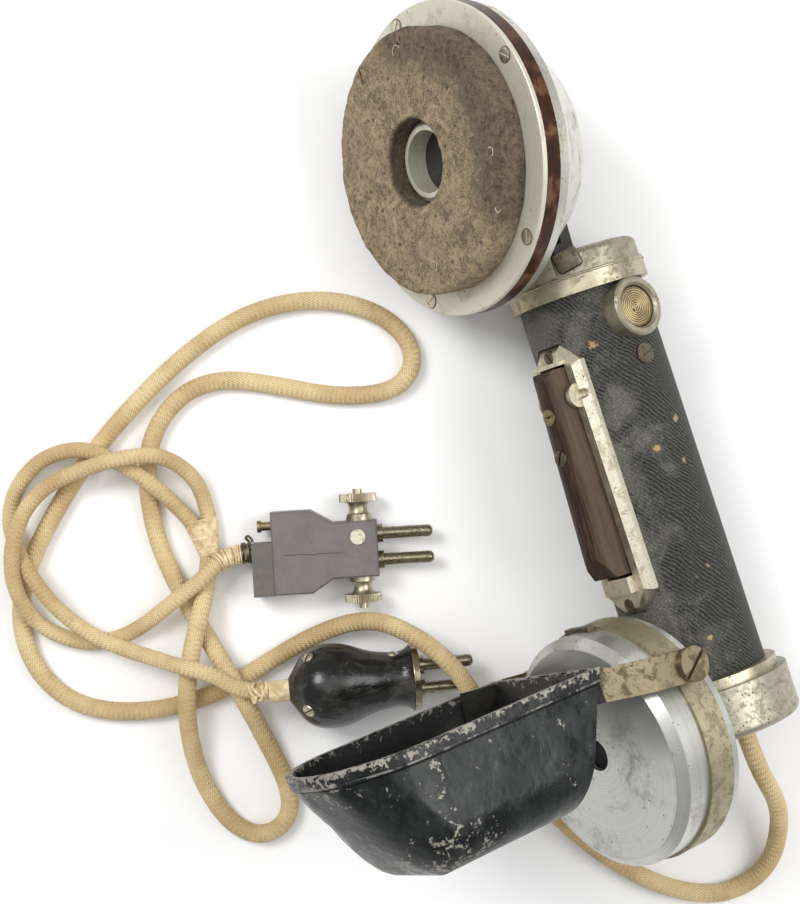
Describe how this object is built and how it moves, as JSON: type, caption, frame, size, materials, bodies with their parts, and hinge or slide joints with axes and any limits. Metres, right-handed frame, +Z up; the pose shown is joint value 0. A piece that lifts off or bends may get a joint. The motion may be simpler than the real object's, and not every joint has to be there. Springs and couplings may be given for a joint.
{
  "type": "field telephone handset",
  "caption": "Old field telephone handset: leather grip with talk lever and call button, felt-padded receiver, capsule with a folding horn, braided cord with its plugs.",
  "frame": {"origin": "on the floor under the middle of the handset's own box, without the cord and its plugs", "axes": "+Z up from the floor, +Y along the handle towards the receiver, -X towards the side that the ear and mouth face"},
  "size_m": [0.2329, 0.3, 0.1236],
  "materials": {
    "leather": "scuffed black leather",
    "core": "turned hard rubber",
    "nickel": "worn nickel plate",
    "cast": "dull cast aluminium",
    "silvered": "worn silver plate",
    "steel": "aged steel",
    "magnet": "hardened magnet steel",
    "coil": "silk-covered winding",
    "brass": "tarnished brass",
    "plate_brass": "blackened brass",
    "lever": "dark stained, worn pale",
    "fibre": "red vulcanised fibre",
    "felt": "pressed grey felt",
    "carbon": "carbon disc",
    "enamel": "chipped black gloss enamel",
    "braid": "cream cotton braid",
    "string": "waxed string binding",
    "vulcanite": "faded grey vulcanite",
    "pear": "polished black ebonite"
  },
  "bodies": {
    "root": {"bottom_band": "nickel", "button_bezel": "nickel", "button_housing": "brass", "button_spring": "steel", "carbon_chamber": "brass", "cord_bindings": "string", "cord_branch_flat": "braid", "cord_branch_pear": "braid", "cord_coil": "steel", "cord_gland": "core", "cord_main": "braid", "core_tube": "core", "ear_pad": "felt", "end_bracket": "cast", "fibre_ring": "fibre", "flat_plug_body": "vulcanite", "flat_plug_clamp": "vulcanite", "flat_plug_cover": "vulcanite", "flat_plug_pins": "brass", "flat_plug_screw": "brass", "flat_plug_socket": "brass", "grip_sleeve": "leather", "handle_screws": "steel", "hinge_screws": "nickel", "lever_frame": "cast", "lever_pin": "steel", "mic_back": "cast", "mic_band": "nickel", "mic_clip": "steel", "mic_contact_spring": "brass", "mic_diaphragm": "carbon", "mic_insulator": "core", "mic_shell": "cast", "pear_plug_lower": "pear", "pear_plug_pins": "brass", "pear_plug_plate": "plate_brass", "pear_plug_upper": "pear", "pole_pieces": "steel", "receiver_cap": "silvered", "receiver_coils": "coil", "receiver_diaphragm": "silvered", "receiver_magnet": "magnet", "receiver_neck": "cast", "receiver_shell": "cast", "ring_screws": "silvered", "switch_blades": "steel", "terminal_block": "core", "thumb_studs": "nickel", "top_cap": "cast", "top_collar": "nickel"},
    "horn_assembly": {"horn": "enamel", "horn_arms": "nickel", "horn_rivets": "nickel"},
    "lever": {"talk_lever": "lever", "lever_screws": "brass"},
    "button": {"call_button": "brass"},
    "washer_upper": {"thumb_washer_upper": "nickel"},
    "washer_lower": {"thumb_washer_lower": "nickel"},
    "nut_upper": {"thumb_nut_upper": "nickel"},
    "nut_lower": {"thumb_nut_lower": "nickel"}
  },
  "joints": [
    {"name": "horn_fold", "type": "hinge", "parent": "root", "child": "horn_assembly", "pos_m": [0.02056, -0.07731, 0.04631], "axis": [-0.5736, -0.01, -0.8191], "range_deg": [-18, 60]},
    {"name": "lever_press", "type": "hinge", "parent": "root", "child": "lever", "pos_m": [0.03415, 0.00616, 0.03577], "axis": [0.5736, 0.01, 0.8191], "range_deg": [0, 5], "stiffness_Nm_per_rad": 1.2, "springref_deg": -6.88},
    {"name": "button_push", "type": "slide", "parent": "root", "child": "button", "axis": [-0.5736, -0.01, -0.8191], "range_m": [0, 0.002], "stiffness_N_per_m": 1200, "springref_m": -0.0012, "deforming": ["button_spring"]},
    {"name": "washer_upper_slide", "type": "slide", "parent": "root", "child": "washer_upper", "axis": [0.2521, 0.9677, 0], "range_m": [0, 0.001]},
    {"name": "nut_upper_turn", "type": "hinge", "parent": "washer_upper", "child": "nut_upper", "pos_m": [-0.03821, -0.01047, 0.0065], "axis": [0.2521, 0.9677, 0], "range_deg": [0, 720]},
    {"name": "washer_lower_slide", "type": "slide", "parent": "root", "child": "washer_lower", "axis": [-0.2521, -0.9677, 0], "range_m": [0, 0.001]},
    {"name": "nut_lower_turn", "type": "hinge", "parent": "washer_lower", "child": "nut_lower", "pos_m": [-0.04274, -0.02789, 0.0065], "axis": [-0.2521, -0.9677, 0], "range_deg": [0, 720]}
  ],
  "couplings": [
    {"joint": "nut_upper_turn", "follows": "washer_upper_slide", "rad_per_m": 12566},
    {"joint": "nut_lower_turn", "follows": "washer_lower_slide", "rad_per_m": 12566}
  ]
}
